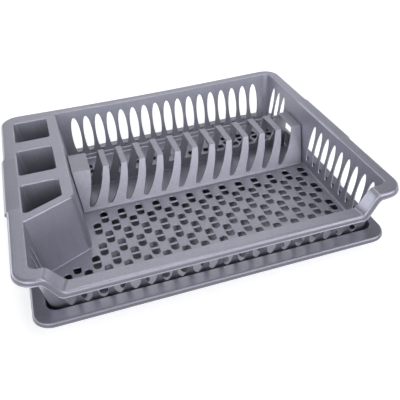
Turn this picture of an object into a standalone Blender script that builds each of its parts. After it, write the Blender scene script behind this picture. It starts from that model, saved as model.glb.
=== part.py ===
"""Dish drainer: a slotted basket with a cutlery section, a plate rack and a drip tray.

Metres, +Z up, the drainer stands on Z = 0 with the middle of its rim at X = Y = 0.
+X runs along its length, the cutlery section is at -X and the low front rim is at -Y.
"""

import math

import bmesh
import bpy
from mathutils import Vector

# Basket rim, seen from above
RIM_LENGTH = 0.4576
RIM_DEPTH = 0.3952
RIM_CORNER = 0.0266
FLANGE_LEFT = 0.0190
FLANGE_RIGHT = 0.0162
FLANGE_FRONT = 0.0194
FLANGE_BACK = 0.0161
HANDLE_LENGTH = 0.1320
HANDLE_MIDDLE = 0.0024
HANDLE_BULGE = 0.0026
HANDLE_RAMP = 0.0040

# Basket heights above the table
RIM_TOP = 0.1017
RIM_FRONT_DROP = 0.0252
RIM_BACK_DIP = 0.0024
FLOOR_TOP = 0.0150

# Basket wall and lip
WALL = 0.0016
SKIRT_DROP = 0.0082
LIP_ROUND = 0.0022
MOUTH_ROUND = 0.0005
FLOOR_ROUND = 0.0025
INNER_CORNER = 0.0100
LEAN_LEFT = 0.0105
LEAN_RIGHT = 0.0076
LEAN_FRONT = 0.0223
LEAN_BACK = 0.0086

# Fall of the rim at both ends of the front
FALL_RIGHT_INSET = 0.0358
FALL_LEFT_INSET = 0.0305
FALL_LENGTH = 0.0220
FALL_SKIRT_SHIFT = 0.0038

# Drainage slots in the walls
SLOT_PITCH = 0.0190
SLOT_WIDTH = 0.0140
SLOT_BOTTOM = 0.0252
SLOT_TOP_DROP = 0.0139
FRONT_SLOT_BOTTOM = 0.0215
FRONT_SLOT_TOP_DROP = 0.0125
SLOT_RIGHT_INSET = 0.0443
SIDE_SLOT_PITCH = 0.0196
SIDE_SLOT_BACK_INSET = 0.0420
SIDE_SLOT_FRONT_INSET = 0.0489
LEFT_SLOTS = 3

# Window in the right wall beside the end of the rack
WINDOW_PAST_RACK = 0.0104
WINDOW_LENGTH = 0.0560
WINDOW_BOTTOM = 0.0380
WINDOW_HEIGHT = 0.0260
WINDOW_CORNER = 0.0060

# Drainage holes in the basket floor, in pairs of D shapes
HOLE_PITCH_X = 0.02555
HOLE_PITCH_Y = 0.0228
HOLE_PAIR_STEP = 0.0152
HOLE_WIDTH = 0.0098
HOLE_LENGTH = 0.0114
HOLE_LEFT_INSET = 0.0529
HOLE_FRONT_INSET = 0.0711
HOLE_BACK_INSET = 0.0505
HOLE_MARGIN = 0.0040

# Cutlery section
SECTION_RIGHT = 0.0825
SECTION_LEAN = 0.0080
SECTION_CORNER = 0.0120
SECTION_BITE = 0.0009
SECTION_LEDGE = 0.0036
SECTION_DROP = 0.0002
FACE_ANGLE = math.radians(26.3)
FACE_RIGHT_BACK_INSET = 0.2552
FACE_LEAN = 0.0040
WELL_RIGHT_RIM = 0.0139
WELL_LEAN = 0.0055
WELL_CORNER = 0.0050
WELLS = 3
WELL_BACK_INSET = 0.0262
WELL_1_LENGTH = 0.0627
WELL_1_RIM = 0.0266
WELL_2_LENGTH = 0.0665
WELL_2_RIM = 0.0247
WELL_FACE_RIM = 0.0128
WELL_SKIN = 0.0004
WELL_FLOOR = 0.0020
WELL_DRAINS = 3
DRAIN_WIDTH = 0.0060
DRAIN_PITCH = 0.0160

# Feet under the basket
FOOT_LENGTH = 0.0180
FOOT_WIDTH = 0.0050
FOOT_TAPER = 0.0006
FOOT_INSET = 0.0020
FOOT_RIGHT_INSET = 0.0488
FRONT_FOOT_LEFT_INSET = 0.0788
BACK_FOOT_LEFT_INSET = 0.1188

# Plate rack
RACK_HEIGHT = 0.0565
RACK_FOOT_Y = 0.0232
RACK_BEND_Y = 0.0441
RACK_BACK_Y = 0.0956
RACK_BACK_LEAN = 0.0072
RACK_SIDE_GAP = 0.0011
RACK_FOOT_LIP = 0.0010
RACK_FOOT_LIP_HEIGHT = 0.0022
RACK_WALL = 0.0020
RACK_ROUND = 0.0030
RACK_RIGHT_END = 0.0064
RACK_NOTCH = 0.0040
RACK_PITCH = 0.02654
RACK_FIRST_SLOT_INSET = 0.1046
RACK_SILL = 0.0056
RACK_BACK_SILL = 0.0143
RACK_BACK_RAIL = 0.0034

# Drip tray
TRAY_LEFT_INSET = 0.0068
TRAY_RIGHT_INSET = 0.0076
TRAY_FRONT_INSET = 0.0088
TRAY_BACK_INSET = 0.0054
TRAY_CORNER = 0.0240
TRAY_BULGE = 0.0033
TRAY_RIM_TOP = 0.0285
TRAY_SKIRT = 0.0065
TRAY_WALL = 0.0018
TRAY_PLAY = 0.0022
TRAY_PLAY_FRONT = 0.0054
TRAY_WELL_LEAN = 0.0025
TRAY_ROUND = 0.0018

# Gap between neighbouring pieces, and how far a cutter runs past what it cuts
GAP = 0.0003
OVERRUN = 0.0040

# Steps and shares of the shapes
CORNER_STEPS = 6
PRISM_STEPS = 3
SLOT_SIDES = 12
DRAIN_SIDES = 8
SLOT_TILT_SHARE = 0.15
FALL_SHARES = (-0.17, 0.0, 0.17, 0.34, 0.5, 0.66, 0.83, 1.0)
DIP_SHARES = (0.1, 0.3, 0.5, 0.7, 0.9)
HOLE_OUTLINE_SHARES = ((-1.0, -1.0), (1.0, -1.0), (0.92, 0.2), (0.45, 1.0), (-0.45, 1.0), (-0.92, 0.2))
RACK_HEIGHT_SHARES = (0.0, 0.06, 0.2, 0.4, 0.66, 1.0)
RACK_SHIFT_SHARES = (-0.02, 0.04, 0.17, 0.344, 0.511, 0.65)
RACK_WIDTH_SHARES = (0.17, 0.32, 0.43, 0.515, 0.579, 0.684)
FLAT_SHARE = 0.004

# Base colour, roughness and metallic value of each moulding
TRAY_FINISH = ((0.315, 0.313, 0.376, 1.0), 0.42, 0.6)
BASKET_FINISH = ((0.310, 0.312, 0.376, 1.0), 0.42, 0.6)
RACK_FINISH = ((0.325, 0.325, 0.384, 1.0), 0.40, 0.6)


class Bounds:
    """A rectangle with rounded corners, seen from above."""

    def __init__(self, left, right, front, back, corner):
        self.left = left
        self.right = right
        self.front = front
        self.back = back
        self.corner = corner

    def grown(self, amount):
        return Bounds(
            self.left - amount,
            self.right + amount,
            self.front - amount,
            self.back + amount,
            self.corner + amount,
        )


def mix(low, high, share):
    return low + (high - low) * share


def smooth_step(share):
    share = min(max(share, 0), 1)
    return share * share * (3 - 2 * share)


def rim_bounds():
    half_length = RIM_LENGTH / 2
    half_depth = RIM_DEPTH / 2
    return Bounds(-half_length, half_length, -half_depth, half_depth, RIM_CORNER)


def rim_front_top():
    return RIM_TOP - RIM_FRONT_DROP


def inner_bounds(height, front_top=None):
    """Inner faces of the basket walls, which lean out towards the rim."""
    rim = rim_bounds()
    front_top = front_top or rim_front_top()
    depth_share = (RIM_TOP - height) / (RIM_TOP - FLOOR_TOP)
    front_share = (front_top - height) / (front_top - FLOOR_TOP)
    return Bounds(
        rim.left + FLANGE_LEFT + LEAN_LEFT * depth_share,
        rim.right - FLANGE_RIGHT - LEAN_RIGHT * depth_share,
        rim.front + FLANGE_FRONT + LEAN_FRONT * front_share,
        rim.back - FLANGE_BACK - LEAN_BACK * depth_share,
        INNER_CORNER,
    )


# Rim of the basket

def straight_share(x):
    """Share of a place along the straight part of the front."""
    rim = rim_bounds()
    return (x - rim.left - rim.corner) / (rim.right - rim.left - 2 * rim.corner)


def fall_starts():
    """Places on the left and right of the front where the rim starts to fall."""
    return rim_bounds().left + FALL_LEFT_INSET, rim_bounds().right - FALL_RIGHT_INSET


def ring_stations():
    """Stations round the rim, anticlockwise from the front left corner."""
    fall_left, fall_right = fall_starts()
    corner_shares = [step / CORNER_STEPS for step in range(CORNER_STEPS + 1)]
    falls = [fall_left + FALL_LENGTH * share for share in FALL_SHARES]
    falls += [fall_right - FALL_LENGTH * share for share in reversed(FALL_SHARES)]
    stations = [("corner", (-1, -1), share) for share in corner_shares]
    stations += [("front", straight_share(x)) for x in falls]
    stations += [("corner", (1, -1), share) for share in corner_shares]
    stations += [("right", y) for y in handle_stations()]
    stations += [("corner", (1, 1), share) for share in corner_shares]
    stations += [("back", 1 - share) for share in DIP_SHARES]
    stations += [("corner", (-1, 1), share) for share in corner_shares]
    stations += [("left", y) for y in reversed(handle_stations())]
    return stations


def corner_point(bounds, sides, share):
    """Point on a corner arc, share 0 to 1 anticlockwise."""
    quarter_turns = {(1, 1): 0, (-1, 1): 1, (-1, -1): 2, (1, -1): 3}
    angle = (quarter_turns[sides] + share) * math.pi / 2
    centre_x = bounds.right - bounds.corner if sides[0] > 0 else bounds.left + bounds.corner
    centre_y = bounds.back - bounds.corner if sides[1] > 0 else bounds.front + bounds.corner
    return centre_x + bounds.corner * math.cos(angle), centre_y + bounds.corner * math.sin(angle)


def handle_share(y):
    """Share of the full bulge at the handles, in the middle of both sides."""
    past = HANDLE_LENGTH / 2 - abs(y - HANDLE_MIDDLE)
    return smooth_step(past / HANDLE_RAMP)


def handle_stations():
    """Places along both sides where the handles start, level off and end."""
    ends = (HANDLE_MIDDLE - HANDLE_LENGTH / 2, HANDLE_MIDDLE + HANDLE_LENGTH / 2)
    return [ends[0], ends[0] + HANDLE_RAMP, ends[1] - HANDLE_RAMP, ends[1]]


def rim_height(station, shift=0):
    """The front falls in an S-curve from both ends, the back dips a little."""
    kind, place = station[0], station[1]
    if kind == "front":
        x = mix(rim_bounds().left + RIM_CORNER, rim_bounds().right - RIM_CORNER, place)
        x -= math.copysign(shift, x)
        left = smooth_step((x - fall_starts()[0]) / FALL_LENGTH)
        right = smooth_step((fall_starts()[1] - x) / FALL_LENGTH)
        return mix(RIM_TOP, rim_front_top(), min(left, right))
    if kind == "back":
        return RIM_TOP - RIM_BACK_DIP * math.sin(math.pi * place)
    return RIM_TOP


def ring_point(station, bounds, bulge=0):
    kind, place = station[0], station[1]
    if kind == "corner":
        return corner_point(bounds, place, station[2])
    if kind in ("front", "back"):
        x = mix(bounds.left + bounds.corner, bounds.right - bounds.corner, place)
        return x, bounds.front if kind == "front" else bounds.back
    bulge *= handle_share(place)
    return (bounds.right + bulge if kind == "right" else bounds.left - bulge), place


def ring(stations, height_of, bounds_at, bulge=0):
    points = []
    for station in stations:
        height = height_of(station)
        x, y = ring_point(station, bounds_at(height, rim_height(station)), bulge)
        points.append((x, y, height))
    return points


# Meshes and objects

def mesh_from(name, bm):
    bmesh.ops.recalc_face_normals(bm, faces=bm.faces[:])
    mesh = bpy.data.meshes.new(name)
    bm.to_mesh(mesh)
    bm.free()
    return mesh


def loft(bm, rings):
    """Closed skin over a list of matching rings, with flat end caps."""
    loops = [[bm.verts.new(point) for point in points] for points in rings]
    count = len(loops[0])
    for low, high in zip(loops, loops[1:]):
        for index in range(count):
            after = (index + 1) % count
            bm.faces.new((low[index], low[after], high[after], high[index]))
    bm.faces.new(loops[0])
    bm.faces.new(loops[-1])


def prism(bm, low_outline, low_z, high_outline, high_z):
    low = [(x, y, low_z) for x, y in low_outline]
    high = [(x, y, high_z) for x, y in high_outline]
    loft(bm, [low, high])


def rounded(corners, radii):
    """Outline with each corner rounded to its own radius, 0 leaves it sharp."""
    outline = []
    for index, radius in enumerate(radii):
        corner = Vector(corners[index])
        if not radius:
            outline.append(tuple(corner))
            continue
        before = (Vector(corners[index - 1]) - corner).normalized()
        after = (Vector(corners[(index + 1) % len(corners)]) - corner).normalized()
        half_angle = before.angle(after) / 2
        centre = corner + (before + after).normalized() * radius / math.sin(half_angle)
        start = (corner + before * radius / math.tan(half_angle) - centre).normalized()
        end = (corner + after * radius / math.tan(half_angle) - centre).normalized()
        for step in range(PRISM_STEPS + 1):
            outline.append(tuple(centre + start.slerp(end, step / PRISM_STEPS) * radius))
    return outline


def ellipse(centre_x, centre_y, width, length, sides):
    outline = []
    for side in range(sides):
        angle = 2 * math.pi * (side + 0.5) / sides
        outline.append((centre_x + width / 2 * math.cos(angle), centre_y + length / 2 * math.sin(angle)))
    return outline


def add_part(name, mesh, collection, finish):
    colour, roughness, metallic = finish
    material = bpy.data.materials.new(name + "_plastic")
    material.use_nodes = True
    shader = material.node_tree.nodes["Principled BSDF"]
    shader.inputs["Base Color"].default_value = colour
    shader.inputs["Roughness"].default_value = roughness
    shader.inputs["Metallic"].default_value = metallic
    mesh.materials.append(material)
    part = bpy.data.objects.new(name, mesh)
    collection.objects.link(part)
    return part


def combine(part, operation, name, bm, cutters):
    """Join a shape to a part, or cut it away."""
    tool = bpy.data.objects.new(name, mesh_from(name, bm))
    tool.display_type = "WIRE"
    tool.hide_render = True
    cutters.objects.link(tool)
    modifier = part.modifiers.new(name, "BOOLEAN")
    modifier.operation = operation
    modifier.solver = "EXACT"
    modifier.object = tool


def merge_flat_faces(part):
    modifier = part.modifiers.new("flat_faces", "DECIMATE")
    modifier.decimate_type = "DISSOLVE"
    modifier.angle_limit = FLAT_SHARE


# Basket

def basket_shell():
    stations = ring_stations()
    rim = rim_bounds()
    floor_bottom = FLOOR_TOP - WALL

    def level(height):
        return lambda station: height

    def below_rim(drop):
        return lambda station: rim_height(station) - drop

    def skirt_end(station):
        return rim_height(station, FALL_SKIRT_SHIFT) - SKIRT_DROP

    def rim_grown(amount):
        return lambda height, top: rim.grown(amount)

    def wall_grown(amount):
        return lambda height, top: inner_bounds(height, top).grown(amount)

    def mouth_grown(amount):
        return lambda height, top: inner_bounds(top, top).grown(amount)

    rings = [
        ring(stations, level(FLOOR_TOP), wall_grown(-FLOOR_ROUND)),
        ring(stations, level(FLOOR_TOP + FLOOR_ROUND), wall_grown(0)),
        ring(stations, below_rim(MOUTH_ROUND), wall_grown(0)),
        ring(stations, below_rim(0), mouth_grown(MOUTH_ROUND)),
        ring(stations, below_rim(0), rim_grown(-LIP_ROUND), HANDLE_BULGE),
        ring(stations, below_rim(LIP_ROUND), rim_grown(0), HANDLE_BULGE),
        ring(stations, skirt_end, rim_grown(0), HANDLE_BULGE),
        ring(stations, skirt_end, rim_grown(-WALL), HANDLE_BULGE),
        ring(stations, below_rim(WALL), rim_grown(-WALL), HANDLE_BULGE),
        ring(stations, below_rim(WALL), wall_grown(WALL)),
        ring(stations, level(floor_bottom + FLOOR_ROUND), wall_grown(WALL)),
        ring(stations, level(floor_bottom), wall_grown(WALL - FLOOR_ROUND)),
    ]
    bm = bmesh.new()
    loft(bm, rings)
    return mesh_from("basket", bm)


def face_line_y(x, offset):
    """Y of the slanted front face of the cutlery section at a place along the drainer."""
    return (x * math.sin(FACE_ANGLE) + offset) / math.cos(FACE_ANGLE)


def face_offset():
    """Distance of the slanted face from the middle, from its place at the section's right face."""
    right = rim_bounds().left + SECTION_RIGHT
    y = rim_bounds().back - FACE_RIGHT_BACK_INSET
    return y * math.cos(FACE_ANGLE) - right * math.sin(FACE_ANGLE)


def section_corners(height, reach, inset):
    """Corners of the cutlery section, reaching into the walls and inset from its own faces."""
    walls = inner_bounds(height)
    depth_share = (RIM_TOP - height) / (RIM_TOP - FLOOR_TOP)
    left = walls.left - reach
    back = walls.back + reach
    right = rim_bounds().left + SECTION_RIGHT + SECTION_LEAN * depth_share - inset
    offset = face_offset() - FACE_LEAN * depth_share + inset
    return [
        (left, face_line_y(left, offset)),
        (right, face_line_y(right, offset)),
        (right, back),
        (left, back),
    ]


def section_outline(height, reach, inset):
    radii = (0, SECTION_CORNER - inset, 0, INNER_CORNER + reach)
    return rounded(section_corners(height, reach, inset), radii)


def section_faces():
    """The slanted and the right face of the cutlery section, one thin wall from wall to wall."""
    rings = []
    for height in (FLOOR_TOP - WALL / 2, RIM_TOP - SECTION_DROP):
        outside = section_corners(height, SECTION_BITE, 0)[:3]
        inside = section_corners(height, SECTION_BITE, WALL)[2::-1]
        outline = rounded(outside + inside, (0, SECTION_CORNER, 0, 0, SECTION_CORNER - WALL, 0))
        rings.append([(x, y, height) for x, y in outline])
    bm = bmesh.new()
    loft(bm, rings)
    return bm


def section_top():
    bm = bmesh.new()
    high_z = RIM_TOP - SECTION_DROP
    low_z = high_z - WALL
    low = section_outline(low_z, SECTION_BITE, WALL / 2)
    high = section_outline(high_z, SECTION_BITE, WALL / 2)
    prism(bm, low, low_z, high, high_z)
    return bm


def section_opening():
    """The floor is open under the cutlery section, but for a ledge all round."""
    bm = bmesh.new()
    low_z = FLOOR_TOP - WALL - OVERRUN
    high_z = FLOOR_TOP + OVERRUN
    low = section_outline(low_z, -SECTION_LEDGE, SECTION_LEDGE)
    high = section_outline(high_z, -SECTION_LEDGE, SECTION_LEDGE)
    prism(bm, low, low_z, high, high_z)
    return bm


def well_ends():
    """Back and front of each cutlery well. The front well has no front of its own, it follows the face."""
    back_1 = rim_bounds().back - WELL_BACK_INSET
    front_1 = back_1 - WELL_1_LENGTH
    back_2 = front_1 - WELL_1_RIM
    front_2 = back_2 - WELL_2_LENGTH
    back_3 = front_2 - WELL_2_RIM
    return [(back_1, front_1), (back_2, front_2), (back_3, None)]


def well_outline(well, height, skin):
    """Outline of one cutlery well at a height, grown by a skin. The front well follows the slanted face."""
    depth_share = (RIM_TOP - height) / (RIM_TOP - FLOOR_TOP)
    inset = WELL_LEAN * depth_share - skin
    left = inner_bounds(height).left + WELL_SKIN - skin
    right = rim_bounds().left + SECTION_RIGHT - WELL_RIGHT_RIM - inset
    back, front = well_ends()[well]
    back -= inset
    if front:
        front_left = front + inset
        front_right = front_left
    else:
        offset = face_offset() + WELL_FACE_RIM + inset
        front_left = face_line_y(left, offset)
        front_right = face_line_y(right, offset)
    corners = [(left, front_left), (right, front_right), (right, back), (left, back)]
    return rounded(corners, [WELL_CORNER + skin] * len(corners))


def well_cups():
    bm = bmesh.new()
    low_z = FLOOR_TOP - WELL_FLOOR
    high_z = RIM_TOP - SECTION_DROP - WALL / 2
    for well in range(WELLS):
        prism(bm, well_outline(well, low_z, WALL), low_z, well_outline(well, high_z, WALL), high_z)
    return bm


def well_insides():
    bm = bmesh.new()
    high_z = RIM_TOP + OVERRUN
    for well in range(WELLS):
        prism(bm, well_outline(well, FLOOR_TOP, 0), FLOOR_TOP, well_outline(well, high_z, 0), high_z)
    return bm


def well_drains():
    bm = bmesh.new()
    for well in range(WELLS):
        floor = well_outline(well, FLOOR_TOP, 0)
        middle_x = sum(x for x, y in floor) / len(floor)
        middle_y = sum(y for x, y in floor) / len(floor)
        for drain in range(WELL_DRAINS):
            y = middle_y + DRAIN_PITCH * (drain - (WELL_DRAINS - 1) / 2)
            outline = ellipse(middle_x, y, DRAIN_WIDTH, DRAIN_WIDTH, DRAIN_SIDES)
            prism(bm, outline, FLOOR_TOP - WALL - OVERRUN, outline, FLOOR_TOP + OVERRUN)
    return bm


def row(start, limit, pitch):
    """Places at a pitch from a start, as many as fit before a limit on either side of it."""
    count = int(abs(limit - start) / pitch) + 1
    return [start + math.copysign(pitch, limit - start) * place for place in range(count)]


def window_back():
    return RACK_BACK_Y + WINDOW_PAST_RACK


def section_foot_x():
    """Right face of the cutlery section where it meets the floor."""
    return rim_bounds().left + SECTION_RIGHT + SECTION_LEAN


def slot_places():
    """Side and place along it of every slot in the walls."""
    rim = rim_bounds()
    first_x = rim.right - SLOT_RIGHT_INSET
    first_y = rim.front + SIDE_SLOT_FRONT_INSET
    last_y = rim.back - SIDE_SLOT_BACK_INSET
    back = row(first_x, section_foot_x() + SLOT_WIDTH, SLOT_PITCH)
    front = row(first_x, inner_bounds(FLOOR_TOP).left + SLOT_WIDTH, SLOT_PITCH)
    side_front = row(first_y, RACK_FOOT_Y - SLOT_WIDTH / 2, SIDE_SLOT_PITCH)
    side_back = row(last_y, window_back() + SLOT_WIDTH / 2, SIDE_SLOT_PITCH)
    places = [("back", x) for x in back]
    places += [("front", x) for x in front]
    places += [("right", y) for y in side_back + side_front]
    places += [("left", y) for y in side_front[:LEFT_SLOTS]]
    return places


def through_wall(side, bottom, top):
    """The two places between which a cutter crosses a leaning wall."""
    low = getattr(inner_bounds(bottom), side)
    high = getattr(inner_bounds(top), side)
    outward = 1 if side in ("back", "right") else -1
    return low - outward * OVERRUN, high + outward * (WALL + OVERRUN)


def wall_cutter(bm, side, outline):
    """Prism across a wall from an outline of places along the wall and heights."""
    heights = [height for along, height in outline]
    start, end = through_wall(side, min(heights), max(heights))
    if side in ("back", "front"):
        rings = [[(along, across, height) for along, height in outline] for across in (start, end)]
    else:
        rings = [[(across, along, height) for along, height in outline] for across in (start, end)]
    loft(bm, rings)


def wall_slots():
    bm = bmesh.new()
    for side, along in slot_places():
        if side == "front":
            bottom, top = FRONT_SLOT_BOTTOM, rim_front_top() - FRONT_SLOT_TOP_DROP
        else:
            bottom, top = SLOT_BOTTOM, RIM_TOP - SLOT_TOP_DROP
        middle = (bottom + top) / 2
        outline = ellipse(along, middle, SLOT_WIDTH, top - bottom, SLOT_SIDES)
        if side in ("left", "right"):
            outline = [(y + (middle - height) * SLOT_TILT_SHARE, height) for y, height in outline]
        wall_cutter(bm, side, outline)
    top = WINDOW_BOTTOM + WINDOW_HEIGHT
    back = window_back()
    front = back - WINDOW_LENGTH
    corners = [(front, WINDOW_BOTTOM), (back, WINDOW_BOTTOM), (back, top), (front, top)]
    wall_cutter(bm, "right", rounded(corners, [WINDOW_CORNER] * len(corners)))
    return bm


def hole_fits(x, y):
    """A hole needs floor all round it, clear of the walls and the cutlery section."""
    floor = inner_bounds(FLOOR_TOP)
    reach_x = HOLE_WIDTH / 2 + HOLE_MARGIN
    reach_y = HOLE_LENGTH / 2 + HOLE_MARGIN
    if x - reach_x < floor.left or x + reach_x > floor.right:
        return False
    if y - reach_y < floor.front or y + reach_y > floor.back:
        return False
    section_front = face_line_y(x - reach_x, face_offset() - FACE_LEAN)
    return x - reach_x > section_foot_x() or y + reach_y < section_front


def hole_rows():
    """Place across and shift along of each row of hole pairs: rows in front of the rack and two behind it."""
    rim = rim_bounds()
    half_pitch = HOLE_PITCH_X / 2
    front = row(rim.front + HOLE_FRONT_INSET, RACK_FOOT_Y - HOLE_LENGTH / 2 - HOLE_MARGIN, HOLE_PITCH_Y)
    rows = [(y, half_pitch * ((number + 1) % 2)) for number, y in enumerate(front)]
    rows.append((rim.back - HOLE_BACK_INSET - HOLE_PITCH_Y, 0))
    rows.append((rim.back - HOLE_BACK_INSET, half_pitch))
    return rows


def floor_holes():
    bm = bmesh.new()
    rim = rim_bounds()
    for rear_y, shift in hole_rows():
        for x in row(rim.left + HOLE_LEFT_INSET + shift, rim.right, HOLE_PITCH_X):
            for y, turned in ((rear_y, 1), (rear_y - HOLE_PAIR_STEP, -1)):
                if not hole_fits(x, y):
                    continue
                outline = []
                for across, along in HOLE_OUTLINE_SHARES:
                    outline.append((x + across * HOLE_WIDTH / 2, y + turned * along * HOLE_LENGTH / 2))
                prism(bm, outline, FLOOR_TOP - WALL - OVERRUN, outline, FLOOR_TOP + OVERRUN)
    return bm


def basket_feet():
    bm = bmesh.new()
    rim = rim_bounds()
    floor = inner_bounds(FLOOR_TOP)
    front_y = floor.front + FOOT_INSET + FOOT_WIDTH / 2
    back_y = floor.back - FOOT_INSET - FOOT_WIDTH / 2
    right = rim.right - FOOT_RIGHT_INSET
    places = []
    for y, left in ((front_y, rim.left + FRONT_FOOT_LEFT_INSET), (back_y, rim.left + BACK_FOOT_LEFT_INSET)):
        places += [(left, y), ((left + right) / 2, y), (right, y)]
    for x, y in places:
        outlines = []
        for taper in (FOOT_TAPER, 0):
            half_x = FOOT_LENGTH / 2 - taper
            half_y = FOOT_WIDTH / 2 - taper
            outlines.append([
                (x - half_x, y - half_y),
                (x + half_x, y - half_y),
                (x + half_x, y + half_y),
                (x - half_x, y + half_y),
            ])
        prism(bm, outlines[0], TRAY_WALL + GAP, outlines[1], FLOOR_TOP - WALL / 2)
    return bm


def build_basket(parts, cutters):
    basket = add_part("basket", basket_shell(), parts, BASKET_FINISH)
    combine(basket, "DIFFERENCE", "section_opening", section_opening(), cutters)
    combine(basket, "UNION", "section_faces", section_faces(), cutters)
    combine(basket, "UNION", "section_top", section_top(), cutters)
    combine(basket, "UNION", "well_cups", well_cups(), cutters)
    combine(basket, "DIFFERENCE", "well_insides", well_insides(), cutters)
    combine(basket, "DIFFERENCE", "well_drains", well_drains(), cutters)
    combine(basket, "UNION", "basket_feet", basket_feet(), cutters)
    combine(basket, "DIFFERENCE", "wall_slots", wall_slots(), cutters)
    combine(basket, "DIFFERENCE", "floor_holes", floor_holes(), cutters)
    merge_flat_faces(basket)
    return basket


# Plate rack

def rack_foot_z():
    return FLOOR_TOP + GAP


def rack_top_z():
    return rack_foot_z() + RACK_HEIGHT


def rack_ends(height):
    """Left and right end of the rack, which follow the section and the wall."""
    depth_share = (RIM_TOP - height) / (RIM_TOP - FLOOR_TOP)
    left = rim_bounds().left + SECTION_RIGHT + SECTION_LEAN * depth_share + RACK_SIDE_GAP
    right = inner_bounds(height).right - FLOOR_ROUND * (height <= rack_foot_z() + FLOOR_ROUND) - RACK_SIDE_GAP
    return left, right


def rack_front_y(height):
    return mix(RACK_FOOT_Y, RACK_BEND_Y, (height - rack_foot_z()) / RACK_HEIGHT)


def rack_back_y(height):
    return mix(RACK_BACK_Y - RACK_BACK_LEAN, RACK_BACK_Y, (height - rack_foot_z()) / RACK_HEIGHT)


def rack_shell():
    foot = rack_foot_z()
    top = rack_top_z()
    ceiling = top - RACK_WALL
    front_wall = RACK_WALL / math.cos(math.atan2(RACK_BEND_Y - RACK_FOOT_Y, RACK_HEIGHT))
    inner_round = RACK_ROUND - RACK_WALL
    lip = foot + RACK_FOOT_LIP_HEIGHT
    corners = [
        (rack_front_y(foot) - RACK_FOOT_LIP, foot),
        (rack_front_y(lip) - RACK_FOOT_LIP, lip),
        (rack_front_y(lip), lip + RACK_FOOT_LIP),
        (rack_front_y(top), top),
        (rack_back_y(top), top),
        (rack_back_y(foot), foot),
        (rack_back_y(foot) - RACK_WALL, foot),
        (rack_back_y(ceiling) - RACK_WALL, ceiling),
        (rack_front_y(ceiling) + front_wall, ceiling),
        (rack_front_y(foot) + front_wall, foot),
    ]
    outline = rounded(corners, (0, 0, 0, RACK_ROUND, RACK_ROUND, 0, 0, inner_round, inner_round, 0))
    left_ring = [(rack_ends(height)[0], y, height) for y, height in outline]
    right_ring = [(rack_ends(height)[1], y, height) for y, height in outline]
    bm = bmesh.new()
    loft(bm, [left_ring, right_ring])
    return mesh_from("plate_rack", bm)


def rack_slot_starts():
    """Places of the plate slots at the foot, as many as leave room for the right end."""
    start = rim_bounds().left + RACK_FIRST_SLOT_INSET
    top_reach = RACK_PITCH * (RACK_SHIFT_SHARES[-1] + RACK_WIDTH_SHARES[-1] / 2)
    return row(start, rack_ends(rack_top_z())[1] - RACK_RIGHT_END - top_reach, RACK_PITCH)


def rack_share(height):
    """Share of the way from the sill to the top of the rack."""
    low = rack_foot_z() + RACK_SILL
    return (height - low) / (rack_top_z() - low)


def rack_slot_edges(start, share):
    """Left and right edge of a plate slot at a share of its height."""
    index = 0
    while index < len(RACK_HEIGHT_SHARES) - 2 and share > RACK_HEIGHT_SHARES[index + 1]:
        index += 1
    low, high = RACK_HEIGHT_SHARES[index:index + 2]
    along = (share - low) / (high - low)
    centre = start + RACK_PITCH * mix(RACK_SHIFT_SHARES[index], RACK_SHIFT_SHARES[index + 1], along)
    half_width = RACK_PITCH * mix(RACK_WIDTH_SHARES[index], RACK_WIDTH_SHARES[index + 1], along) / 2
    return centre - half_width, centre + half_width


def rack_slot_sides(start, first, last):
    """Points up the left and the right side of a plate slot, between two shares of its height."""
    low = rack_foot_z() + RACK_SILL
    between = [share for share in RACK_HEIGHT_SHARES if first < share < last]
    left_side = []
    right_side = []
    for share in [first] + between + [last]:
        left, right = rack_slot_edges(start, share)
        height = mix(low, rack_top_z(), share)
        left_side.append((left, height))
        right_side.append((right, height))
    return left_side, right_side


def rack_cutter(bm, outline, front, back):
    loft(bm, [[(x, y, height) for x, height in outline] for y in (front, back)])


def rack_slots():
    """Plate slots through the front and the top, up to the rear panel."""
    bm = bmesh.new()
    top = rack_top_z() + OVERRUN
    for start in rack_slot_starts():
        left_side, right_side = rack_slot_sides(start, 0, 1)
        left_side.append((left_side[-1][0], top))
        right_side.append((right_side[-1][0], top))
        outline = left_side + right_side[::-1]
        rack_cutter(bm, outline, RACK_FOOT_Y - OVERRUN, RACK_BACK_Y - RACK_BACK_LEAN - RACK_WALL - GAP)
    return bm


def rack_notches():
    """Each slot runs out over the rear panel, whose top edge lies lower than the fingers."""
    bm = bmesh.new()
    top = rack_top_z()
    for start in rack_slot_starts():
        left_side, right_side = rack_slot_sides(start, rack_share(top - RACK_NOTCH), 1)
        left_side.append((left_side[-1][0], top + OVERRUN))
        right_side.append((right_side[-1][0], top + OVERRUN))
        outline = left_side + right_side[::-1]
        rack_cutter(bm, outline, RACK_BACK_Y - RACK_BACK_LEAN - 2 * RACK_WALL, RACK_BACK_Y + OVERRUN)
    return bm


def rack_windows():
    """The rear panel has openings of the same form as the slots."""
    bm = bmesh.new()
    first = rack_share(rack_foot_z() + RACK_BACK_SILL)
    last = rack_share(rack_top_z() - RACK_NOTCH - RACK_BACK_RAIL)
    front = RACK_BACK_Y - RACK_BACK_LEAN - RACK_WALL - OVERRUN
    for start in rack_slot_starts():
        left_side, right_side = rack_slot_sides(start, first, last)
        rack_cutter(bm, left_side + right_side[::-1], front, RACK_BACK_Y + OVERRUN)
    return bm


def build_rack(parts, cutters):
    rack = add_part("plate_rack", rack_shell(), parts, RACK_FINISH)
    combine(rack, "DIFFERENCE", "rack_slots", rack_slots(), cutters)
    combine(rack, "DIFFERENCE", "rack_windows", rack_windows(), cutters)
    combine(rack, "DIFFERENCE", "rack_notches", rack_notches(), cutters)
    merge_flat_faces(rack)
    return rack


# Drip tray

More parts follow.
